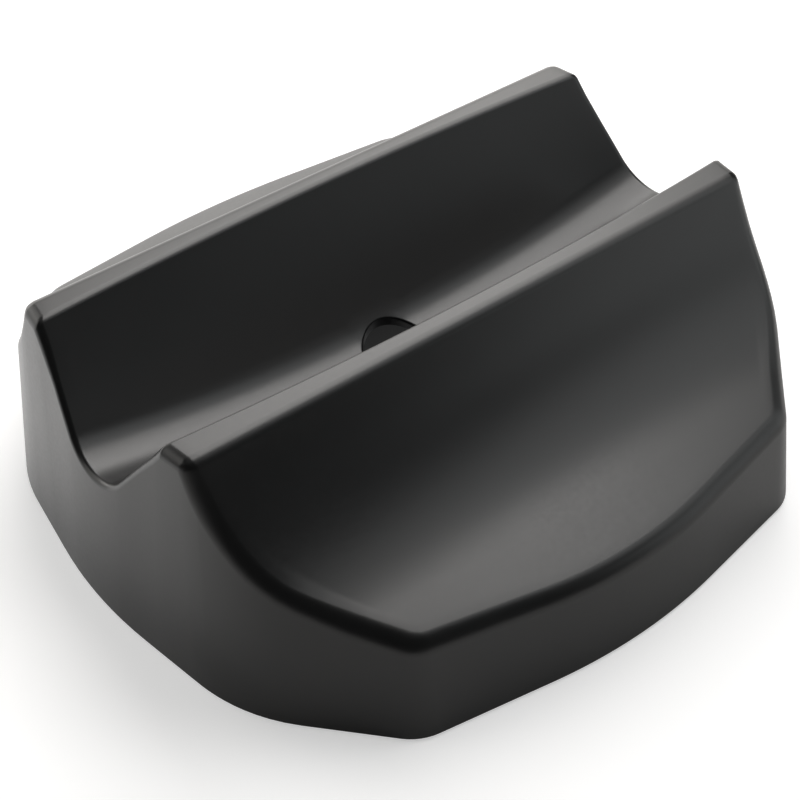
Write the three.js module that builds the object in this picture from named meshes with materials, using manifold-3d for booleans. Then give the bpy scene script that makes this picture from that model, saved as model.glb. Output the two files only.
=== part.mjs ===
// Front riser block for an indoor bicycle trainer, in millimetres.
// X runs along the wheel trough, Y across it and Z up, with the origin on the floor
// below the middle of the block. One moulded shell, open underneath, stands on rubber feet.
import * as THREE from 'three';
import { mergeVertices } from 'three/addons/utils/BufferGeometryUtils.js';
import Module from 'manifold-3d';

const wasm = await Module();
wasm.setup();

// Plan of the skirt at its rim: where each bend of the wall would be before it is rounded.
// The two bends between the reaches are shares of both.
const endReach = 139;
const frontReach = 137.4;
const sideBendEndShare = 0.9173;
const sideBendFrontShare = 0.5582;
const cornerEndShare = 0.6252;
const cornerFrontShare = 0.8879;
const endBendRadius = 188;
const sideBendRadius = 70;
const cornerRadius = 20;
const frontBendRadius = 214;
const wallDraft = THREE.MathUtils.degToRad(6.8);

// Heights above the rim, and the section across the block
const ridgeHeight = 94.2;
const ridgeHalfWidth = 51.3;
const wingTopAngle = THREE.MathUtils.degToRad(65.7);
const wingEndAngle = THREE.MathUtils.degToRad(20.6);
const wingRadius = 90;

// Wheel trough: its floor and its opening at mid-length and at a station near each end
const troughStationInset = 19;
const troughFloorMid = 41.5;
const troughFloorEnd = 54.2;
const troughHalfOpeningMid = 43.7;
const troughHalfOpeningEnd = 39.5;
const troughBottomRadius = 19.1;
const drainHoleRadius = 13.5;

// Walls of the moulding and the ribs under the trough
const wallThickness = 3;
const skinThickness = 3;
const ribThickness = 2.4;
const crossRibSpacing = 92;
const longRibSpacing = 48;
const ribRise = 2;

// Rubber feet, each in a pocket in the end of a post
const footRadius = 8;
const footHeight = 4;
const footProud = 1;
const footChamfer = 0.6;
const footGap = 0.3;
const postWall = 2.5;
const footEndInset = 42;
const footFrontInset = 47.4;

// One overrun serves every cut that runs past a face
const overrun = 5;

// Points per round stretch, and stations along the trough
const endBendSteps = 4;
const sideBendSteps = 6;
const cornerSteps = 5;
const frontBendSteps = 8;
const wingSteps = 10;
const troughSteps = 6;
const troughStations = 12;
const holeSteps = 48;
const footSteps = 24;

const shellPlastic = { color: 0x1b1c1e, roughness: 0.5, metalness: 0 };
const footRubber = { color: 0x121212, roughness: 0.9, metalness: 0 };

// A closed geometry through rings of the same number of points, with flat ends
function loftedGeometry(rings) {
  const count = rings[0].length;
  const positions = rings.flat().flatMap((point) => point.toArray());
  const indices = [];
  for (let ring = 0; ring < rings.length - 1; ring += 1) {
    for (let i = 0; i < count; i += 1) {
      const a = ring * count + i;
      const b = ring * count + ((i + 1) % count);
      indices.push(a, b, b + count, a, b + count, a + count);
    }
  }
  const lastStart = (rings.length - 1) * count;
  for (const [i, j, k] of THREE.ShapeUtils.triangulateShape(flatRing(rings[0]), [])) {
    indices.push(k, j, i);
    indices.push(lastStart + i, lastStart + j, lastStart + k);
  }
  const geometry = new THREE.BufferGeometry();
  geometry.setAttribute('position', new THREE.Float32BufferAttribute(positions, 3));
  geometry.setIndex(indices);
  return geometry;
}

// A planar ring seen square on: along Z when it is level, or else along X
function flatRing(ring) {
  const level = ring.every((point) => point.z === ring[0].z);
  return ring.map((p) => (level ? new THREE.Vector2(p.x, p.y) : new THREE.Vector2(p.y, p.z)));
}

function solidOf(geometry) {
  const bare = geometry.clone();
  bare.deleteAttribute('normal');
  bare.deleteAttribute('uv');
  const merged = mergeVertices(bare);
  const vertProperties = new Float32Array(merged.attributes.position.array);
  const triVerts = new Uint32Array(merged.index.array);
  return new wasm.Manifold(new wasm.Mesh({ numProp: 3, vertProperties, triVerts }));
}

function meshOf(solid, name, look) {
  const { vertProperties, triVerts } = solid.getMesh();
  const geometry = new THREE.BufferGeometry();
  geometry.setAttribute('position', new THREE.Float32BufferAttribute(vertProperties, 3));
  geometry.setIndex(new THREE.BufferAttribute(triVerts, 1));
  geometry.computeVertexNormals();
  const mesh = new THREE.Mesh(geometry, new THREE.MeshStandardMaterial(look));
  mesh.name = name;
  return mesh;
}

// Skirt outline: twelve walls, anticlockwise from the middle of the -X end
function outlineCorners() {
  const bendAt = (endShare, frontShare, radius, steps) =>
    ({ x: endReach * endShare, y: frontReach * frontShare, radius, steps });
  const quarter = [
    bendAt(1, 0, endBendRadius, endBendSteps),
    bendAt(sideBendEndShare, sideBendFrontShare, sideBendRadius, sideBendSteps),
    bendAt(cornerEndShare, cornerFrontShare, cornerRadius, cornerSteps),
    bendAt(0, 1, frontBendRadius, frontBendSteps),
  ];
  const mirrored = (corner, signX, signY) => ({ ...corner, x: corner.x * signX, y: corner.y * signY });
  const [end, side, corner, front] = quarter;
  return [
    mirrored(end, -1, 1),
    mirrored(side, -1, -1),
    mirrored(corner, -1, -1),
    mirrored(front, 1, -1),
    mirrored(corner, 1, -1),
    mirrored(side, 1, -1),
    mirrored(end, 1, 1),
    mirrored(side, 1, 1),
    mirrored(corner, 1, 1),
    mirrored(front, 1, 1),
    mirrored(corner, -1, 1),
    mirrored(side, -1, 1),
  ];
}

// The outline at a height, where the walls lean inwards as they rise, and moved inwards by a
// wall's thickness. The bends keep their centres.
function outlineRing(z, wall) {
  const inset = (z - footProud) * Math.tan(wallDraft) + wall / Math.cos(wallDraft);
  const corners = outlineCorners();
  const count = corners.length;
  const ring = [];
  corners.forEach((corner, index) => {
    const here = new THREE.Vector2(corner.x, corner.y);
    const before = corners[(index + count - 1) % count];
    const after = corners[(index + 1) % count];
    const arriving = here.clone().sub(before).normalize();
    const leaving = new THREE.Vector2(after.x, after.y).sub(here).normalize();
    const turn = arriving.angleTo(leaving);
    const inward = leaving.clone().sub(arriving).normalize();
    const centre = here.clone().addScaledVector(inward, corner.radius / Math.cos(turn / 2));
    const startAngle = arriving.angle() - Math.PI / 2;
    for (let step = 0; step <= corner.steps; step += 1) {
      const angle = startAngle + (turn * step) / corner.steps;
      const reach = corner.radius - inset;
      ring.push(new THREE.Vector3(centre.x + reach * Math.cos(angle), centre.y + reach * Math.sin(angle), z));
    }
  });
  return ring;
}

// The drafted block inside the skirt walls
function skirtSolid(wall, bottom, top) {
  return solidOf(loftedGeometry([outlineRing(bottom, wall), outlineRing(top, wall)]));
}

// Section of the ridge tops and wings, one skin deep where a skin is given, drawn across Y
function wingSection(skin) {
  const top = footProud + ridgeHeight;
  const centreY = ridgeHalfWidth + wingRadius * Math.sin(wingTopAngle);
  const centreZ = top + wingRadius * Math.cos(wingTopAngle);
  const radius = wingRadius + skin;
  const half = [];
  for (let step = 0; step <= wingSteps; step += 1) {
    const angle = wingTopAngle + ((wingEndAngle - wingTopAngle) * step) / wingSteps;
    half.push(new THREE.Vector2(centreY - radius * Math.sin(angle), centreZ - radius * Math.cos(angle)));
  }
  const foot = half[half.length - 1];
  const reach = frontReach + overrun;
  half.push(new THREE.Vector2(reach, foot.y - (reach - foot.x) * Math.tan(wingEndAngle)));
  half.push(new THREE.Vector2(reach, -overrun));
  // Under a skin the steep start of the wing is carried up to the level top and cut off there
  if (skin > 0) {
    const edge = half[0];
    const rise = top - skin - edge.y;
    half[0] = new THREE.Vector2(edge.x - rise / Math.tan(wingTopAngle), top - skin);
  }
  return [...half, ...half.map((point) => new THREE.Vector2(-point.x, point.y)).reverse()].reverse();
}

function wingSolid(skin) {
  const section = wingSection(skin);
  const reach = endReach + overrun;
  const ringAt = (x) => section.map((point) => new THREE.Vector3(x, point.x, point.y));
  return solidOf(loftedGeometry([ringAt(-reach), ringAt(reach)]));
}

// Across the trough at one station: a round bottom with a straight side up to each ridge's edge.
// With a skin it is the lower face of the trough's wall instead.
function troughRing(x, skin) {
  const along = (x / (endReach - troughStationInset)) ** 2;
  const floor = footProud + troughFloorMid + (troughFloorEnd - troughFloorMid) * along;
  const opening = troughHalfOpeningMid + (troughHalfOpeningEnd - troughHalfOpeningMid) * along;
  const centreZ = floor + troughBottomRadius;
  const climb = footProud + ridgeHeight - centreZ;
  const sideAngle = Math.atan2(climb, opening) + Math.asin(troughBottomRadius / Math.hypot(climb, opening));
  const radius = troughBottomRadius + skin;
  const half = [];
  for (let step = 0; step <= troughSteps; step += 1) {
    const angle = (sideAngle * step) / troughSteps;
    half.push(new THREE.Vector3(x, radius * Math.sin(angle), centreZ - radius * Math.cos(angle)));
  }
  const last = half[half.length - 1];
  const lid = footProud + ridgeHeight + overrun;
  half.push(new THREE.Vector3(x, last.y + (lid - last.z) / Math.tan(sideAngle), lid));
  const mirrored = half.slice(1).map((point) => new THREE.Vector3(point.x, -point.y, point.z));
  return [...mirrored.reverse(), ...half];
}

function troughSolid(skin) {
  const rings = [];
  const reach = endReach + overrun;
  for (let station = 0; station <= troughStations; station += 1) {
    rings.push(troughRing(reach * ((2 * station) / troughStations - 1), skin));
  }
  return solidOf(loftedGeometry(rings));
}

function box(sizeX, sizeY, bottom, top, x, y) {
  const geometry = new THREE.BoxGeometry(sizeX, sizeY, top - bottom);
  geometry.translate(x, y, (top + bottom) / 2);
  return solidOf(geometry);
}

function upright(radius, bottom, top, x, y, steps) {
  const geometry = new THREE.CylinderGeometry(radius, radius, top - bottom, steps);
  geometry.rotateX(Math.PI / 2);
  geometry.translate(x, y, (top + bottom) / 2);
  return solidOf(geometry);
}

const footX = endReach - footEndInset;
const footY = frontReach - footFrontInset;
const footPlaces = [
  { name: 'foot_front_left', x: -footX, y: -footY },
  { name: 'foot_front_right', x: footX, y: -footY },
  { name: 'foot_back_left', x: -footX, y: footY },
  { name: 'foot_back_right', x: footX, y: footY },
];

// What stays solid inside the hollow: ribs under the trough and a post over each foot
function innerFrame() {
  const bottom = footProud + ribRise;
  const top = footProud + ridgeHeight;
  const plates = [];
  for (const side of [-1, 1]) {
    plates.push(box(ribThickness, 2 * frontReach, bottom, top, (side * crossRibSpacing) / 2, 0));
    plates.push(box(2 * endReach, ribThickness, bottom, top, 0, (side * longRibSpacing) / 2));
  }
  const postRadius = footRadius + footGap + postWall;
  const posts = footPlaces.map((place) => upright(postRadius, footProud, top, place.x, place.y, footSteps));
  return [...plates, ...posts].reduce((sum, next) => sum.add(next));
}

function shellSolid() {
  const top = footProud + ridgeHeight;
  const block = skirtSolid(0, footProud, top + overrun).intersect(wingSolid(0)).subtract(troughSolid(0));
  const hollow = skirtSolid(wallThickness, footProud - overrun, top)
    .intersect(wingSolid(skinThickness))
    .subtract(troughSolid(skinThickness))
    .subtract(innerFrame());
  const pocketTop = footHeight + footGap;
  const pockets = footPlaces.map((place) =>
    upright(footRadius + footGap, footProud - overrun, pocketTop, place.x, place.y, footSteps));
  const hole = upright(drainHoleRadius, 0, top, 0, 0, holeSteps);
  return pockets.reduce((rest, pocket) => rest.subtract(pocket), block.subtract(hollow).subtract(hole));
}

function footMesh(place) {
  const profile = [
    new THREE.Vector2(0, 0),
    new THREE.Vector2(footRadius - footChamfer, 0),
    new THREE.Vector2(footRadius, footChamfer),
    new THREE.Vector2(footRadius, footHeight),
    new THREE.Vector2(0, footHeight),
  ];
  const geometry = new THREE.LatheGeometry(profile, footSteps);
  geometry.rotateX(Math.PI / 2);
  geometry.translate(place.x, place.y, 0);
  const mesh = new THREE.Mesh(geometry, new THREE.MeshStandardMaterial(footRubber));
  mesh.name = place.name;
  return mesh;
}

const riser = new THREE.Group();
riser.add(meshOf(shellSolid(), 'shell', shellPlastic));
for (const place of footPlaces) {
  riser.add(footMesh(place));
}

export default riser;
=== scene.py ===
import math

import bmesh
import bpy
from mathutils import Matrix, Quaternion, Vector


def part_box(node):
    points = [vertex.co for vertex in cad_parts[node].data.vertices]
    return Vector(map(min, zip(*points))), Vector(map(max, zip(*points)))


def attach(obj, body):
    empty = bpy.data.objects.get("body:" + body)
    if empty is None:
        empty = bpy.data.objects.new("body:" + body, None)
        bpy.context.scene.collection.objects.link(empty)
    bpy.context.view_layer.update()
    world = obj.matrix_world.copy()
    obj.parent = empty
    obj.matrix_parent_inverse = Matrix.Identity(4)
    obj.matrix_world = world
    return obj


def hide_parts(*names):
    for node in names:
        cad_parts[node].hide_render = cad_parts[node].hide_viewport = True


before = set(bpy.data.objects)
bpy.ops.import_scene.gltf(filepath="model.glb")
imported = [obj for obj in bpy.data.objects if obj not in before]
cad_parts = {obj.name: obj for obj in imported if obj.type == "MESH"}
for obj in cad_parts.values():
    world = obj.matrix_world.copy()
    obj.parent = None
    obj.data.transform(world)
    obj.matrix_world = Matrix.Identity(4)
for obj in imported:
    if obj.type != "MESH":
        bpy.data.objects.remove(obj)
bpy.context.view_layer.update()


# Camera. It stands in front of the block and to its left, looks down at about 42 degrees and
# leans by two degrees, as the photograph's camera did, so the photograph's frame is filled alike.
MM = 0.001
CAMERA_AZIMUTH = math.radians(-36.6349)
CAMERA_ELEVATION = math.radians(42.227)
CAMERA_ROLL = math.radians(-1.9506)
CAMERA_DISTANCE = 666.66 * MM
CAMERA_SHIFT_RIGHT = -0.584 * MM
CAMERA_SHIFT_UP = 11.386 * MM
CAMERA_CLIP_START = 10 * MM
CAMERA_FOCAL_PIXELS = 1701.515
PHOTO_PIXELS = 800

scene = bpy.context.scene
scene.view_settings.view_transform = "Standard"
camera_target = Vector((0, 0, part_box("shell")[0].z))
camera_back = Vector((math.sin(CAMERA_AZIMUTH) * math.cos(CAMERA_ELEVATION),
                      -math.cos(CAMERA_AZIMUTH) * math.cos(CAMERA_ELEVATION),
                      math.sin(CAMERA_ELEVATION)))
level_right = (-camera_back).cross(Vector((0, 0, 1))).normalized()
level_up = level_right.cross(-camera_back)
camera_right = level_right * math.cos(CAMERA_ROLL) + level_up * math.sin(CAMERA_ROLL)
camera_up = camera_back.cross(camera_right)
camera_place = (camera_target + camera_back * CAMERA_DISTANCE
                + camera_right * CAMERA_SHIFT_RIGHT + camera_up * CAMERA_SHIFT_UP)
camera = bpy.data.objects.new("camera", bpy.data.cameras.new("camera"))
camera.data.lens = CAMERA_FOCAL_PIXELS / PHOTO_PIXELS * camera.data.sensor_width
camera.data.dof.use_dof = False
camera.data.clip_start = CAMERA_CLIP_START
camera.matrix_world = Matrix.Translation(camera_place) @ Matrix(
    (camera_right, camera_up, camera_back)).transposed().to_4x4()
scene.collection.objects.link(camera)
scene.camera = camera


# Floor and surroundings. A plain pale floor carries the block and its soft shadow, and runs on to
# the horizon in the same white as the air above it. In the block's gloss the floor is bright
# behind the block and dark in front of it, and the air is dark all round.
FLOOR_REACH = 14.0
FLOOR_TONE = 0.72

# What the floor glows to the camera besides the lamps' light on it, near the block and far off
FLOOR_SEEN_NEAR = 0.5
FLOOR_SEEN_FAR = 1.0
FLOOR_FADE_START = 0.45
FLOOR_FADE_END = 1.1

# How the floor glows in the block's gloss: in front of the block, behind it, and how far from the
# middle either is reached
FLOOR_IN_GLOSS_FRONT = 0.02
FLOOR_IN_GLOSS_BACK = 0.6
FLOOR_GLOSS_REACH = 150 * MM

# The air's own light, and the share of the white air that is added to it in the block's gloss
AIR_LEVEL = 0.03
AIR_IN_GLOSS_SHARE = 0.02

floor_bm = bmesh.new()
bmesh.ops.create_grid(floor_bm, x_segments=1, y_segments=1, size=FLOOR_REACH)
floor_mesh = bpy.data.meshes.new("floor")
floor_bm.to_mesh(floor_mesh)
floor_bm.free()
floor = bpy.data.objects.new("floor", floor_mesh)
scene.collection.objects.link(floor)

floor_paint = bpy.data.materials.new("floor_paint")
floor_paint.use_nodes = True
floor_nodes = floor_paint.node_tree.nodes
floor_links = floor_paint.node_tree.links
floor_shader = floor_nodes["Principled BSDF"]
floor_shader.inputs["Base Color"].default_value = (FLOOR_TONE, FLOOR_TONE, FLOOR_TONE, 1)
floor_shader.inputs["Roughness"].default_value = 0.9
floor_shader.inputs["Specular IOR Level"].default_value = 0.1
floor_shader.inputs["Emission Color"].default_value = (1, 1, 1, 1)
floor_place = floor_nodes.new("ShaderNodeTexCoord")
floor_distance = floor_nodes.new("ShaderNodeVectorMath")
floor_distance.operation = "LENGTH"
floor_fade = floor_nodes.new("ShaderNodeMapRange")
floor_fade.interpolation_type = "SMOOTHSTEP"
floor_fade.inputs["From Min"].default_value = FLOOR_FADE_START
floor_fade.inputs["From Max"].default_value = FLOOR_FADE_END
floor_fade.inputs["To Min"].default_value = FLOOR_SEEN_NEAR
floor_fade.inputs["To Max"].default_value = FLOOR_SEEN_FAR
floor_path = floor_nodes.new("ShaderNodeLightPath")
gloss_or_glass = floor_nodes.new("ShaderNodeMath")
gloss_or_glass.operation = "MAXIMUM"
floor_axes = floor_nodes.new("ShaderNodeSeparateXYZ")
floor_behind = floor_nodes.new("ShaderNodeMapRange")
floor_behind.interpolation_type = "SMOOTHSTEP"
floor_behind.inputs["From Min"].default_value = -FLOOR_GLOSS_REACH
floor_behind.inputs["From Max"].default_value = FLOOR_GLOSS_REACH
floor_behind.inputs["To Min"].default_value = FLOOR_IN_GLOSS_FRONT
floor_behind.inputs["To Max"].default_value = FLOOR_IN_GLOSS_BACK
floor_in_gloss = floor_nodes.new("ShaderNodeMath")
floor_in_gloss.operation = "MULTIPLY"
floor_glow = floor_nodes.new("ShaderNodeMath")
floor_glow.operation = "MULTIPLY_ADD"
floor_links.new(floor_place.outputs["Object"], floor_distance.inputs[0])
floor_links.new(floor_distance.outputs["Value"], floor_fade.inputs["Value"])
floor_links.new(floor_path.outputs["Is Glossy Ray"], gloss_or_glass.inputs[0])
floor_links.new(floor_path.outputs["Is Transmission Ray"], gloss_or_glass.inputs[1])
floor_links.new(gloss_or_glass.outputs["Value"], floor_in_gloss.inputs[0])
floor_links.new(floor_place.outputs["Object"], floor_axes.inputs["Vector"])
floor_links.new(floor_axes.outputs["Y"], floor_behind.inputs["Value"])
floor_links.new(floor_behind.outputs["Result"], floor_in_gloss.inputs[1])
floor_links.new(floor_fade.outputs["Result"], floor_glow.inputs[0])
floor_links.new(floor_path.outputs["Is Camera Ray"], floor_glow.inputs[1])
floor_links.new(floor_in_gloss.outputs["Value"], floor_glow.inputs[2])
floor_links.new(floor_glow.outputs["Value"], floor_shader.inputs["Emission Strength"])
floor_mesh.materials.append(floor_paint)

air = bpy.data.worlds.new("air")
air.use_nodes = True
scene.world = air
air_nodes = air.node_tree.nodes
air_links = air.node_tree.links
air_light = air_nodes["Background"]
air_light.inputs["Color"].default_value = (1, 1, 1, 1)
air_light.inputs["Strength"].default_value = AIR_LEVEL
air_seen = air_nodes.new("ShaderNodeBackground")
air_seen.inputs["Color"].default_value = (1, 1, 1, 1)
air_seen.inputs["Strength"].default_value = 1.0
air_path = air_nodes.new("ShaderNodeLightPath")
seen_or_through_glass = air_nodes.new("ShaderNodeMath")
seen_or_through_glass.operation = "MAXIMUM"
air_share = air_nodes.new("ShaderNodeMath")
air_share.operation = "MULTIPLY_ADD"
air_share.inputs[1].default_value = AIR_IN_GLOSS_SHARE
air_mix = air_nodes.new("ShaderNodeMixShader")
air_links.new(air_path.outputs["Is Camera Ray"], seen_or_through_glass.inputs[0])
air_links.new(air_path.outputs["Is Transmission Ray"], seen_or_through_glass.inputs[1])
air_links.new(air_path.outputs["Is Glossy Ray"], air_share.inputs[0])
air_links.new(seen_or_through_glass.outputs["Value"], air_share.inputs[2])
air_links.new(air_share.outputs["Value"], air_mix.inputs["Fac"])
air_links.new(air_light.outputs["Background"], air_mix.inputs[1])
air_links.new(air_seen.outputs["Background"], air_mix.inputs[2])
air_links.new(air_mix.outputs["Shader"], air_nodes["World Output"].inputs["Surface"])


# Lamps. Five softboxes face the block. The strongest is a long one, high up and turned, between
# the back and the right end. A wide low one stands behind the block and one behind its left end,
# and two weak ones, one above the other, stand in front of its right end.
LAMP_DISTANCE = 1.6


def softbox(name, azimuth, elevation, roll, size, watts, colour):
    """A lamp aimed at the block. Its azimuth runs from the front round by the right end."""
    turn, rise = math.radians(azimuth), math.radians(elevation)
    place = LAMP_DISTANCE * Vector((math.sin(turn) * math.cos(rise),
                                    -math.cos(turn) * math.cos(rise), math.sin(rise)))
    lamp = bpy.data.lights.new(name, "AREA")
    lamp.shape = "RECTANGLE"
    lamp.size, lamp.size_y = size
    lamp.energy = watts
    lamp.color = colour
    holder = bpy.data.objects.new(name, lamp)
    holder.location = place
    holder.rotation_euler = (place.to_track_quat("Z", "Y")
                             @ Quaternion((0, 0, 1), math.radians(roll))).to_euler()
    holder.visible_camera = False
    scene.collection.objects.link(holder)


softbox("high_softbox", 126, 59, -45, (1.85, 0.89), 23.7, (1, 0.98, 0.96))
softbox("back_softbox", 161, 15, 0, (3.0, 1.0), 16.3, (1, 0.97, 0.93))
softbox("back_left_softbox", 215, 28, 0, (1.7, 1.4), 8.4, (1, 0.98, 0.94))
softbox("right_softbox", 54, 47, 0, (0.65, 0.9), 2.3, (0.98, 1, 1))
softbox("front_right_softbox", 52, 14, 0, (1.15, 0.85), 2.8, (0.97, 1, 1))


# Shell. One injection moulding in black polypropylene, open underneath, with walls and skins
# 3 mm thick. The walls lean in by the mould's draft. Between two level ridges runs the wheel
# trough, and outside each ridge a dished wing falls away to the wall.
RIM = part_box("shell")[0].z
RIDGE_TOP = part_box("shell")[1].z
DRAFT = math.radians(6.8)
SKIN = 3 * MM

# Plan of the rim in one quarter, from the middle of an end to the middle of a side: where each
# bend of the wall would be before it is rounded, and its radius
PLAN_BENDS = [((139 * MM, 0), 188 * MM), ((127.5 * MM, 76.7 * MM), 70 * MM),
              ((86.9 * MM, 122 * MM), 20 * MM), ((0, 137.4 * MM), 214 * MM)]

# A wing's section is an arc that starts at the ridge's outer edge, and a straight that goes on
# from it. Both angles are the wing's slope, at the arc's start and at its end.
RIDGE_HALF_WIDTH = 51.3 * MM
WING_RADIUS = 90 * MM
WING_TOP_ANGLE = math.radians(65.7)
WING_END_ANGLE = math.radians(20.6)
WING_CENTRE_Y = RIDGE_HALF_WIDTH + WING_RADIUS * math.sin(WING_TOP_ANGLE)
WING_CENTRE_Z = RIDGE_TOP + WING_RADIUS * math.cos(WING_TOP_ANGLE)

# The trough's floor rises and its opening narrows by these amounts from the middle to a station
# near each end
TROUGH_STATION = 120 * MM
TROUGH_FLOOR_MID = RIM + 41.5 * MM
TROUGH_FLOOR_RISE = 12.7 * MM
TROUGH_OPENING_MID = 43.7 * MM
TROUGH_OPENING_LOSS = 4.2 * MM
TROUGH_BOTTOM_RADIUS = 19.1 * MM
DRAIN_HOLE_RADIUS = 13.5 * MM


def plan_bends():
    """Each bend's centre and radius, and the directions that the wall faces at its two ends."""
    points = [Vector(point) for point, _ in PLAN_BENDS]
    facing = [math.atan2(b.y - a.y, b.x - a.x) - math.pi / 2 for a, b in zip(points, points[1:])]
    facing = [-facing[0], *facing, math.pi - facing[-1]]
    bends = []
    for (point, radius), first, last in zip(PLAN_BENDS, facing, facing[1:]):
        middle = Vector((math.cos((first + last) / 2), math.sin((first + last) / 2)))
        centre = Vector(point) - middle * radius / math.cos((last - first) / 2)
        bends.append((centre, radius, first, last))
    return bends


BENDS = plan_bends()


def wall_facing(x, y):
    """The direction that the wall faces at a point of the first quarter's plan."""
    for centre, _, first, last in BENDS:
        angle = math.atan2(y - centre.y, x - centre.x)
        if angle < last:
            break
    return max(angle, first)


def rim_stretches():
    """The rim of one quarter as arcs and straights, each with its length."""
    stretches = []
    for index, (centre, radius, first, last) in enumerate(BENDS):
        start = max(first, 0)
        end = min(last, math.pi / 2)
        stretches.append((radius * (end - start), centre, radius, start, end))
        if index + 1 < len(BENDS):
            next_centre = BENDS[index + 1][0]
            along = Vector((-math.sin(last), math.cos(last)))
            stretches.append(((next_centre - centre).dot(along), centre, radius, last, None))
    return stretches


STRETCHES = rim_stretches()
QUARTER_LENGTH = sum(stretch[0] for stretch in STRETCHES)


def rim_at(distance):
    """Point of the rim and the wall's outward direction, a distance along from the end's middle."""
    for length, centre, radius, start, end in STRETCHES:
        if distance <= length:
            break
        distance -= length
    distance = min(distance, length)
    if end is None:
        outward = Vector((math.cos(start), math.sin(start)))
        return centre + outward * radius + Vector((-outward.y, outward.x)) * distance, outward
    angle = start + distance / radius
    outward = Vector((math.cos(angle), math.sin(angle)))
    return centre + outward * radius, outward


def trough_section(x, skin):
    """Centre height of the trough's round bottom, its radius, side angle and half opening."""
    along = (x / TROUGH_STATION) ** 2
    centre_z = TROUGH_FLOOR_MID + TROUGH_FLOOR_RISE * along + TROUGH_BOTTOM_RADIUS
    opening = TROUGH_OPENING_MID - TROUGH_OPENING_LOSS * along
    climb = RIDGE_TOP - centre_z
    side = math.atan2(climb, opening) + math.asin(TROUGH_BOTTOM_RADIUS / math.hypot(climb, opening))
    radius = TROUGH_BOTTOM_RADIUS + skin
    edge_y = radius * math.sin(side)
    edge_z = centre_z - radius * math.cos(side)
    return centre_z, radius, side, edge_y + (RIDGE_TOP - skin - edge_z) / math.tan(side)


def ridge_edge(skin):
    """Half the width across the two ridges, where the level top ends and a wing starts."""
    radius = WING_RADIUS + skin
    return WING_CENTRE_Y - math.sqrt(radius ** 2 - (WING_CENTRE_Z - RIDGE_TOP + skin) ** 2)


def top_height(x, y, skin):
    """Height of the block's upper surface, or of the surface one skin below it."""
    centre_z, radius, side, opening = trough_section(x, skin)
    if y >= ridge_edge(skin):
        wing_radius = WING_RADIUS + skin
        straight_y = WING_CENTRE_Y - wing_radius * math.sin(WING_END_ANGLE)
        if y > straight_y:
            straight_z = WING_CENTRE_Z - wing_radius * math.cos(WING_END_ANGLE)
            return straight_z - (y - straight_y) * math.tan(WING_END_ANGLE)
        return WING_CENTRE_Z - math.sqrt(wing_radius ** 2 - (WING_CENTRE_Y - y) ** 2)
    if y >= opening:
        return RIDGE_TOP - skin
    if y > radius * math.sin(side):
        return RIDGE_TOP - skin - (opening - y) * math.tan(side)
    return centre_z - math.sqrt(radius ** 2 - y ** 2)


# Each ridge's end stands a little out of the wall's even lean, to leave room for its round edges
RIDGE_END_Y = 46 * MM
RIDGE_END_REACH = 22 * MM
RIDGE_END_EASE = 0.019

# How many times the two searches below refine their answer
BROW_STEPS = 30
SEARCH_STEPS = 40


def wall_slope(y):
    """How far the wall leans in for each unit of its height."""
    near = max(0, 1 - ((y - RIDGE_END_Y) / RIDGE_END_REACH) ** 2)
    return math.tan(DRAFT) - RIDGE_END_EASE * near ** 2


def brow_at(distance, skin):
    """Where the wall meets the upper surface, above a point of the rim."""
    foot, outward = rim_at(distance)
    point = foot
    z = RIM
    for _ in range(BROW_STEPS):
        inset = (z - RIM) * wall_slope(point.y) + skin / math.cos(DRAFT)
        point = foot - outward * inset
        z = top_height(point.x, point.y, skin)
    return Vector((point.x, point.y, z)), outward


def brow_where(test, low, high, skin):
    """The distance along the rim at which a rising test passes zero at the brow."""
    for _ in range(SEARCH_STEPS):
        middle = (low + high) / 2
        if test(brow_at(middle, skin)[0]) < 0:
            low = middle
        else:
            high = middle
    return (low + high) / 2


# One quarter of the upper surface is a grid. Its rows run along the block and are counted from
# the middle of the trough outwards, and its columns are counted from the block's middle to its
# end. In the middle the columns lie closer, at this share of an even spacing.
TROUGH_ROWS = 10
SIDE_ROWS = 4
RIDGE_ROWS = 1
WING_ROUND_ROWS = 14
WING_STRAIGHT_ROWS = 5
INNER_EDGE_ROW = TROUGH_ROWS + SIDE_ROWS
OUTER_EDGE_ROW = INNER_EDGE_ROW + RIDGE_ROWS
WING_ROWS = WING_ROUND_ROWS + WING_STRAIGHT_ROWS + 1
LAST_ROW = OUTER_EDGE_ROW + WING_ROWS
COLUMNS = 40
MIDDLE_SPACING_SHARE = 0.6

# The last cells of each row and column are a margin along the walls. The corner between the end
# wall and the side wall is one of the rim's stretches, and each half of it has the same few cells.
MARGIN = 8 * MM
CORNER_STRETCH = 4
CORNER_STEPS = 3

# The drain hole takes up this block of the grid's cells. Points nearer than HOLE_INSIDE times its
# size lie in it, and those out to HOLE_EASE times its size are moved to make room for it.
HOLE_COLUMNS = 5
HOLE_ROWS = 6
HOLE_EASE = 2.6
HOLE_INSIDE = 0.99


def row_y(row, x, skin):
    """How far out a row of the trough or the ridge runs, at one place along the block."""
    _, radius, side, opening = trough_section(x, skin)
    if row <= TROUGH_ROWS:
        return radius * math.sin(side * row / TROUGH_ROWS)
    if row <= INNER_EDGE_ROW:
        start = radius * math.sin(side)
        return start + (opening - start) * (row - TROUGH_ROWS) / SIDE_ROWS
    return opening + (ridge_edge(skin) - opening) * (row - INNER_EDGE_ROW) / RIDGE_ROWS


def column_share(column):
    """Share of a row's length at a column. The columns lie closer round the drain hole."""
    even = column / (COLUMNS - 1)
    return MIDDLE_SPACING_SHARE * even + (1 - MIDDLE_SPACING_SHARE) * even * even


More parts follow.
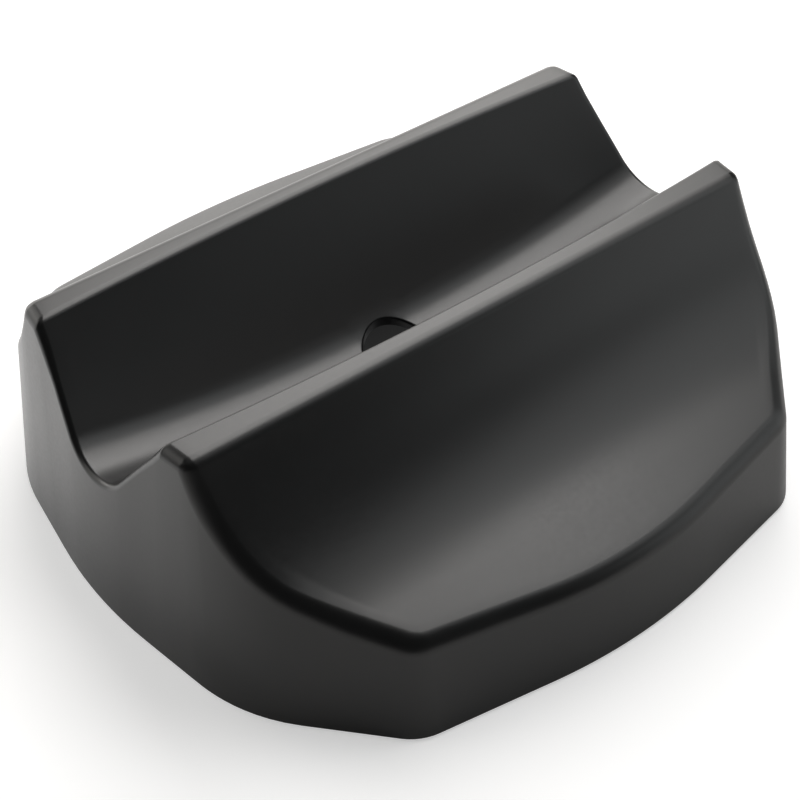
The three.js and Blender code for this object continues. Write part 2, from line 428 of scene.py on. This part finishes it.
def quarter_plan(skin):
    """Places of the grid's points over one quarter, by row and column, seen from above."""
    plan = {}
    corner_start = sum(stretch[0] for stretch in STRETCHES[:CORNER_STRETCH])
    corner_half = STRETCHES[CORNER_STRETCH][0] / 2
    corner_middle = corner_start + corner_half
    corner_end = corner_middle + corner_half
    for row in range(OUTER_EDGE_ROW + 1):
        distance = brow_where(lambda brow: brow.y - row_y(row, brow.x, skin), 0, corner_start, skin)
        end_x = brow_at(distance, skin)[0].x
        for column in range(COLUMNS):
            x = (end_x - MARGIN) * column_share(column)
            plan[row, column] = Vector((x, row_y(row, x, skin)))
        plan[row, COLUMNS] = Vector((end_x, row_y(row, end_x, skin)))

    # In the block's middle the wing's rows are even in angle round its dish and then even in width
    edge = ridge_edge(skin)
    radius = WING_RADIUS + skin
    first_angle = math.asin((WING_CENTRE_Y - edge) / radius)
    angles = [first_angle + (WING_END_ANGLE - first_angle) * row / WING_ROUND_ROWS
              for row in range(WING_ROUND_ROWS + 1)]
    middle_ys = [WING_CENTRE_Y - radius * math.sin(angle) for angle in angles]
    front_y = brow_at(QUARTER_LENGTH, skin)[0].y
    straight = front_y - MARGIN - middle_ys[-1]
    middle_ys += [middle_ys[-1] + straight * (row + 1) / WING_STRAIGHT_ROWS
                  for row in range(WING_STRAIGHT_ROWS)]

    # Where the rows reach the end wall and the columns reach the side wall, along the rim
    end_start = brow_where(lambda brow: brow.y - edge, 0, corner_start, skin)
    corner_y = brow_at(corner_start, skin)[0].y
    last_even = WING_ROWS - CORNER_STEPS
    end_distances = []
    for row in range(last_even):
        share = (middle_ys[row] - edge) / (middle_ys[last_even] - edge)
        target = edge + (corner_y - edge) * share
        end_distances.append(
            brow_where(lambda brow: brow.y - target, end_start, corner_start, skin))
    end_distances += [corner_start + corner_half * step / CORNER_STEPS
                      for step in range(CORNER_STEPS + 1)]
    front_x = brow_at(corner_end, skin)[0].x
    last_even = COLUMNS - CORNER_STEPS
    front_distances = []
    for column in range(last_even):
        target = front_x * column_share(column) / column_share(last_even)
        front_distances.append(
            brow_where(lambda brow: target - brow.x, corner_end, QUARTER_LENGTH, skin))
    front_distances += [corner_end - corner_half * step / CORNER_STEPS
                        for step in range(CORNER_STEPS + 1)]

    # A margin runs along the walls, and inside it the points are eased between its four sides
    end_margin = []
    for row, distance in enumerate(end_distances):
        point, outward = brow_at(distance, skin)
        plan[OUTER_EDGE_ROW + row, COLUMNS] = point.xy
        turned = math.atan2(outward.y, outward.x) * min(1, row / CORNER_STEPS / 2)
        end_margin.append(point.xy - Vector((math.cos(turned), math.sin(turned))) * MARGIN)
    front_margin = []
    for column, distance in enumerate(front_distances[:-1]):
        point, outward = brow_at(distance, skin)
        plan[LAST_ROW, column] = point.xy
        front_margin.append(point.xy - outward * MARGIN)
    point, outward = brow_at(corner_middle, skin)
    inner_corner = point.xy - outward * MARGIN
    end_margin[WING_ROWS - 1] = inner_corner
    front_margin[COLUMNS - 1] = inner_corner
    for row in range(1, WING_ROWS):
        row_share = row / (WING_ROWS - 1)
        middle = Vector((0, middle_ys[row]))
        for column in range(COLUMNS):
            share = column / (COLUMNS - 1)
            across = plan[OUTER_EDGE_ROW, column].lerp(front_margin[column], row_share)
            along = middle.lerp(end_margin[row], share)
            ridge = plan[OUTER_EDGE_ROW, 0].lerp(plan[OUTER_EDGE_ROW, COLUMNS - 1], share)
            corners = ridge.lerp(front_margin[0].lerp(inner_corner, share), row_share)
            plan[OUTER_EDGE_ROW + row, column] = across + along - corners
    return plan


def open_drain_hole(plan):
    """Moves the points round the middle so that a block of cells becomes the round hole."""
    half_x = plan[0, HOLE_COLUMNS].x
    half_y = plan[HOLE_ROWS, 0].y
    turn = math.pi / 2 / (HOLE_COLUMNS + HOLE_ROWS)
    for (row, column), point in plan.items():
        right = point.x / half_x
        out = point.y / half_y
        reach = max(right, out)
        if reach < HOLE_INSIDE or reach >= HOLE_EASE:
            continue
        angle = turn * (HOLE_ROWS * out / right if right >= out
                        else HOLE_ROWS + HOLE_COLUMNS * (1 - right / out))
        ring = Vector((math.cos(angle), math.sin(angle))) * DRAIN_HOLE_RADIUS * reach
        pull = min(1, (HOLE_EASE - reach) / (HOLE_EASE - 1))
        plan[row, column] = point.lerp(ring, pull * pull * (3 - 2 * pull))


# How near a place counts as on the middle plane or on the rim, and how near points are merged
TOUCH = 0.1 * MM
MERGE_DISTANCE = 0.01 * MM


def block(skin, bottom, hole_bottom):
    """The closed block that the wall, wings, ridges and trough bound, or the core one skin inside
    it. The outer block has the drain hole, as a blind hole down to a height."""
    plan = quarter_plan(skin)
    if hole_bottom is not None:
        open_drain_hole(plan)
    bm = bmesh.new()
    grid = bmesh.ops.create_grid(bm, x_segments=COLUMNS, y_segments=LAST_ROW, size=1)["verts"]
    for index, vert in enumerate(grid):
        place = plan[divmod(index, COLUMNS + 1)]
        vert.co = (place.x, place.y, top_height(place.x, place.y, skin))
    if hole_bottom is not None:
        inside = [grid[row * (COLUMNS + 1) + column]
                  for row in range(HOLE_ROWS) for column in range(HOLE_COLUMNS)]
        bmesh.ops.delete(bm, geom=inside, context="VERTS")

    # The wall hangs from the brow and leans out as it goes down, and the hole's wall hangs straight
    def border(edge):
        on_middle_x = max(vert.co.x for vert in edge.verts) < TOUCH
        on_middle_y = max(vert.co.y for vert in edge.verts) < TOUCH
        return edge.is_boundary and not on_middle_x and not on_middle_y
    borders = [edge for edge in bm.edges if border(edge)]
    hung = bmesh.ops.extrude_edge_only(bm, edges=borders)["geom"]
    for vert in (item for item in hung if isinstance(item, bmesh.types.BMVert)):
        if vert.co.xy.length < 2 * DRAIN_HOLE_RADIUS:
            vert.co.z = hole_bottom
            continue
        facing = wall_facing(vert.co.x, vert.co.y)
        lean = (vert.co.z - bottom) * wall_slope(vert.co.y)
        vert.co.x += math.cos(facing) * lean
        vert.co.y += math.sin(facing) * lean
        vert.co.z = bottom
    for axis in ("X", "Y"):
        bmesh.ops.mirror(bm, geom=bm.verts[:] + bm.edges[:] + bm.faces[:], axis=axis,
                         merge_dist=MERGE_DISTANCE)
    bmesh.ops.remove_doubles(bm, verts=bm.verts, dist=MERGE_DISTANCE)
    bmesh.ops.holes_fill(bm, edges=[edge for edge in bm.edges if edge.is_boundary])
    bmesh.ops.recalc_face_normals(bm, faces=bm.faces)
    return bm


# How round each edge is. The brow's radius is given at distances from the trough's middle and
# grows towards the wings. Of a ridge's two radii the first is its inner edge's, by the trough.
EDGE_ROUND_STEPS = 8
BROW_RADII = [(30 * MM, 2.2 * MM), (38 * MM, 3.2 * MM), (46 * MM, 4.8 * MM), (60 * MM, 7 * MM),
              (90 * MM, 7.6 * MM), (115 * MM, 8 * MM)]
FRONT_RIDGE_RADII = (1.4 * MM, 5.2 * MM)
BACK_RIDGE_RADII = (3.4 * MM, 5.2 * MM)
DRAIN_HOLE_EDGE_RADIUS = 1 * MM
RIM_RADIUS = 0.6 * MM

# What tells the edges apart. A surface that turns by less than SHARP_TURN runs on smoothly, an edge
# taller than WALL_LINE_HEIGHT is a line down the wall, the drain hole's upper edge lies above
# HOLE_EDGE_HEIGHT, and a face whose normal rises by less than WALL_NORMAL_Z is the wall's. An edge
# may lie as far as NEARBY from its place.
SHARP_TURN = math.radians(25)
WALL_LINE_HEIGHT = 20 * MM
HOLE_EDGE_HEIGHT = RIM + 35 * MM
WALL_NORMAL_Z = 2 * math.sin(DRAFT)
NEARBY = 1 * MM


def brow_radius(y):
    """Radius of the edge between the wall and the upper surface, this far from the middle."""
    for (low_y, low), (high_y, high) in zip(BROW_RADII, BROW_RADII[1:]):
        if y < high_y:
            return low + (high - low) * max(0, (y - low_y) / (high_y - low_y))
    return BROW_RADII[-1][1]


def edge_radius(edge):
    """Radius of the moulding's edge here, or none where the surface runs on smoothly."""
    middle = (edge.verts[0].co + edge.verts[1].co) / 2
    x, y = abs(middle.x), abs(middle.y)
    low, high = sorted((vert.co.z for vert in edge.verts))
    if high - low > WALL_LINE_HEIGHT or edge.calc_face_angle() < SHARP_TURN:
        return 0
    if high < RIM + TOUCH:
        return RIM_RADIUS
    if math.hypot(x, y) < DRAIN_HOLE_RADIUS + NEARBY:
        return DRAIN_HOLE_EDGE_RADIUS if low > HOLE_EDGE_HEIGHT else 0
    if any(abs(face.normal.z) < WALL_NORMAL_Z for face in edge.link_faces):
        return brow_radius(y)
    inner, outer = BACK_RIDGE_RADII if middle.y > 0 else FRONT_RIDGE_RADII
    return outer if y > RIDGE_HALF_WIDTH - NEARBY else inner


def mesh_object(name, bm):
    """Turns a bmesh into an object of the scene."""
    mesh = bpy.data.meshes.new(name)
    bm.to_mesh(mesh)
    bm.free()
    made = bpy.data.objects.new(name, mesh)
    scene.collection.objects.link(made)
    return made


# The blind hole ends below the trough's skin, where the hollow underneath opens it
BLIND_HOLE_BOTTOM = RIM + 30 * MM

shell_bm = block(0, RIM, BLIND_HOLE_BOTTOM)
edge_weights = shell_bm.edges.layers.float.new("bevel_weight_edge")
edge_widths = {}
for edge in shell_bm.edges:
    radius = edge_radius(edge)
    if radius:
        edge_widths[edge] = radius * math.tan(edge.calc_face_angle() / 2)
widest = max(edge_widths.values())
for edge, width in edge_widths.items():
    edge[edge_weights] = width / widest
shell = mesh_object("riser_shell", shell_bm)
rounding = shell.modifiers.new("rounding", "BEVEL")
rounding.width = widest
rounding.segments = EDGE_ROUND_STEPS
rounding.limit_method = "WEIGHT"
rounding.use_clamp_overlap = False
rounding.loop_slide = False

# The hollow underneath is the core less what stays solid in it: two ribs each way under the
# trough, and a post over each foot with a pocket in its end. The ribs run past the core's sides,
# and the core and the pockets run out below the rim by the overrun.
RIB_THICKNESS = 2.4 * MM
CROSS_RIB_X = 46 * MM
LONG_RIB_Y = 24 * MM
RIB_BOTTOM = RIM + 2 * MM
RIB_REACH = PLAN_BENDS[0][0][0]
FOOT_RADIUS = 8 * MM
FOOT_HEIGHT = 4 * MM
FOOT_GAP = 0.3 * MM
POCKET_RADIUS = FOOT_RADIUS + FOOT_GAP
POST_WALL = 2.5 * MM
POST_SEGMENTS = 48
OVERRUN = 5 * MM


def add_box(bm, low, high):
    """Adds a box between two corners."""
    made = bmesh.ops.create_cube(bm, size=1)["verts"]
    bmesh.ops.scale(bm, verts=made, vec=Vector(high) - Vector(low))
    bmesh.ops.translate(bm, verts=made, vec=(Vector(low) + Vector(high)) / 2)


def add_upright(bm, centre, radius, bottom, top):
    """Adds an upright cylinder over a foot's centre."""
    made = bmesh.ops.create_cone(bm, cap_ends=True, segments=POST_SEGMENTS, radius1=radius,
                                 radius2=radius, depth=top - bottom)["verts"]
    bmesh.ops.translate(bm, verts=made, vec=(centre.x, centre.y, (bottom + top) / 2))


def cut(target, tool, name):
    """Takes one solid out of another."""
    step = target.modifiers.new(name, "BOOLEAN")
    step.operation = "DIFFERENCE"
    step.solver = "MANIFOLD"
    step.object = tool


foot_names = [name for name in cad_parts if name.startswith("foot_")]
foot_centres = {name: (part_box(name)[0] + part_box(name)[1]) / 2 for name in foot_names}
cross_ribs_bm = bmesh.new()
long_ribs_bm = bmesh.new()
posts_bm = bmesh.new()
pockets_bm = bmesh.new()
for side in (-1, 1):
    middle = side * CROSS_RIB_X
    add_box(cross_ribs_bm, (middle - RIB_THICKNESS / 2, -RIB_REACH, RIB_BOTTOM),
            (middle + RIB_THICKNESS / 2, RIB_REACH, RIDGE_TOP))
    middle = side * LONG_RIB_Y
    add_box(long_ribs_bm, (-RIB_REACH, middle - RIB_THICKNESS / 2, RIB_BOTTOM),
            (RIB_REACH, middle + RIB_THICKNESS / 2, RIDGE_TOP))
for centre in foot_centres.values():
    add_upright(posts_bm, centre, POCKET_RADIUS + POST_WALL, RIM, RIDGE_TOP)
    add_upright(pockets_bm, centre, POCKET_RADIUS, RIM - OVERRUN, FOOT_HEIGHT + FOOT_GAP)
core = mesh_object("core", block(SKIN, RIM - OVERRUN, None))
core_cuts = [mesh_object(name, bm) for name, bm in
             (("cross_ribs", cross_ribs_bm), ("long_ribs", long_ribs_bm), ("posts", posts_bm))]
for tool in core_cuts:
    cut(core, tool, tool.name)
pockets = mesh_object("pockets", pockets_bm)
cut(shell, core, "hollow")
cut(shell, pockets, "foot_pockets")


def settle(piece, tools):
    """Keeps what a piece's modifiers make as its own mesh, and takes the tools away."""
    evaluated = piece.evaluated_get(bpy.context.evaluated_depsgraph_get())
    made = bpy.data.meshes.new_from_object(evaluated)
    piece.modifiers.clear()
    piece.data = made
    for tool in tools:
        bpy.data.objects.remove(tool)


settle(shell, [core, pockets, *core_cuts])

shell_bm = bmesh.new()
shell_bm.from_mesh(shell.data)
for face in shell_bm.faces:
    face.smooth = True
for edge in shell_bm.edges:
    edge.smooth = edge.calc_face_angle(0) < SHARP_TURN
shell_bm.to_mesh(shell.data)
shell_bm.free()
weighted = shell.modifiers.new("weighted", "WEIGHTED_NORMAL")
weighted.keep_sharp = True
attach(shell, "root")
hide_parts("shell")

plastic = bpy.data.materials.new("shell_plastic")
plastic.use_nodes = True
plastic_nodes = plastic.node_tree.nodes
plastic_links = plastic.node_tree.links
plastic_shader = plastic_nodes["Principled BSDF"]
plastic_shader.inputs["IOR"].default_value = 1.58
plastic_place = plastic_nodes.new("ShaderNodeTexCoord")


def noise(place, scale, detail, roughness):
    """Noise in the material that a place node belongs to, fixed to the piece."""
    tree = place.id_data
    texture = tree.nodes.new("ShaderNodeTexNoise")
    texture.inputs["Scale"].default_value = scale
    texture.inputs["Detail"].default_value = detail
    texture.inputs["Roughness"].default_value = roughness
    tree.links.new(place.outputs["Object"], texture.inputs["Vector"])
    return texture.outputs["Fac"]


def spread(source, low, high):
    """The middle of a noise's range, where most of it lies, turned into a range of values."""
    span = plastic_nodes.new("ShaderNodeMapRange")
    span.inputs["From Min"].default_value = 0.3
    span.inputs["From Max"].default_value = 0.7
    span.inputs["To Min"].default_value = low
    span.inputs["To Max"].default_value = high
    plastic_links.new(source, span.inputs["Value"])
    return span.outputs["Result"]


# The black is not quite even. The satin sheen varies slowly, over a hand's width, and finely, over
# a millimetre or two, and the mould leaves a very fine grain.
pigment = plastic_nodes.new("ShaderNodeMix")
pigment.data_type = "RGBA"
pigment.inputs["A"].default_value = (0.0029, 0.0031, 0.0033, 1)
pigment.inputs["B"].default_value = (0.0043, 0.0045, 0.0047, 1)
plastic_links.new(spread(noise(plastic_place, 45, 3, 0.55), 0, 1), pigment.inputs["Factor"])
plastic_links.new(pigment.outputs["Result"], plastic_shader.inputs["Base Color"])

sheen_even = spread(noise(plastic_place, 9, 2, 0.5), 0.305, 0.335)
sheen_fine = spread(noise(plastic_place, 650, 2, 0.6), -0.018, 0.018)
sheen = plastic_nodes.new("ShaderNodeMath")
sheen.operation = "ADD"
plastic_links.new(sheen_even, sheen.inputs[0])
plastic_links.new(sheen_fine, sheen.inputs[1])
plastic_links.new(sheen.outputs["Value"], plastic_shader.inputs["Roughness"])

grain = plastic_nodes.new("ShaderNodeBump")
grain.inputs["Strength"].default_value = 0.12
grain.inputs["Distance"].default_value = 0.03 * MM
plastic_links.new(noise(plastic_place, 1500, 2, 0.6), grain.inputs["Height"])
plastic_links.new(grain.outputs["Normal"], plastic_shader.inputs["Normal"])
shell.data.materials.clear()
shell.data.materials.append(plastic)


# Feet. Four moulded discs of black rubber, each pressed into the pocket in a post's end and
# standing 1 mm proud of the rim. A groove round the sole helps it to grip.
FOOT_SEGMENTS = 48
SOLE_BORDER = 2.4 * MM
SOLE_GROOVE = 1.4 * MM
SOLE_GROOVE_DEPTH = 0.6 * MM
SOLE_NORMAL_Z = -0.9
FOOT_EDGE_RADIUS = 0.25 * MM
FOOT_EDGE_STEPS = 3
FOOT_EDGE_TURN = math.pi / 4
FOOT_SHARP_TURN = SHARP_TURN * 1.5

rubber = bpy.data.materials.new("foot_rubber")
rubber.use_nodes = True
rubber_nodes = rubber.node_tree.nodes
rubber_links = rubber.node_tree.links
rubber_shader = rubber_nodes["Principled BSDF"]
rubber_shader.inputs["IOR"].default_value = 1.52
rubber_place = rubber_nodes.new("ShaderNodeTexCoord")

# Carbon black gives it a near-black colour with a dusty bloom in patches and a fine dull grain
bloom = noise(rubber_place, 160, 4, 0.5)
rubber_colour = rubber_nodes.new("ShaderNodeMix")
rubber_colour.data_type = "RGBA"
rubber_colour.inputs["A"].default_value = (0.008, 0.008, 0.008, 1)
rubber_colour.inputs["B"].default_value = (0.017, 0.016, 0.015, 1)
rubber_links.new(bloom, rubber_colour.inputs["Factor"])
rubber_links.new(rubber_colour.outputs["Result"], rubber_shader.inputs["Base Color"])
rubber_dullness = rubber_nodes.new("ShaderNodeMapRange")
rubber_dullness.inputs["To Min"].default_value = 0.62
rubber_dullness.inputs["To Max"].default_value = 0.86
rubber_links.new(bloom, rubber_dullness.inputs["Value"])
rubber_links.new(rubber_dullness.outputs["Result"], rubber_shader.inputs["Roughness"])
rubber_grain = rubber_nodes.new("ShaderNodeBump")
rubber_grain.inputs["Strength"].default_value = 0.35
rubber_grain.inputs["Distance"].default_value = 0.05 * MM
rubber_links.new(noise(rubber_place, 2200, 2, 0.5), rubber_grain.inputs["Height"])
rubber_links.new(rubber_grain.outputs["Normal"], rubber_shader.inputs["Normal"])

for name, centre in foot_centres.items():
    foot_bm = bmesh.new()
    bmesh.ops.create_cone(foot_bm, cap_ends=True, segments=FOOT_SEGMENTS, radius1=FOOT_RADIUS,
                          radius2=FOOT_RADIUS, depth=FOOT_HEIGHT)
    sole = [face for face in foot_bm.faces if face.normal.z < SOLE_NORMAL_Z]
    bmesh.ops.inset_region(foot_bm, faces=sole, thickness=SOLE_BORDER)
    groove = bmesh.ops.inset_region(foot_bm, faces=sole, thickness=SOLE_GROOVE)["faces"]
    sunk = bmesh.ops.extrude_face_region(foot_bm, geom=groove)["geom"]
    bmesh.ops.delete(foot_bm, geom=groove, context="FACES")
    bmesh.ops.translate(foot_bm, vec=(0, 0, SOLE_GROOVE_DEPTH),
                        verts=[item for item in sunk if isinstance(item, bmesh.types.BMVert)])
    edges = [edge for edge in foot_bm.edges if edge.calc_face_angle() > FOOT_EDGE_TURN]
    bmesh.ops.bevel(foot_bm, geom=edges, offset=FOOT_EDGE_RADIUS, segments=FOOT_EDGE_STEPS,
                    profile=0.5, affect="EDGES", material=-1)
    bmesh.ops.translate(foot_bm, verts=foot_bm.verts, vec=centre)
    for face in foot_bm.faces:
        face.smooth = True
    for edge in foot_bm.edges:
        edge.smooth = edge.calc_face_angle() < FOOT_SHARP_TURN
    foot = mesh_object("rubber_" + name, foot_bm)
    foot.data.materials.append(rubber)
    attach(foot, "root")
    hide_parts(name)
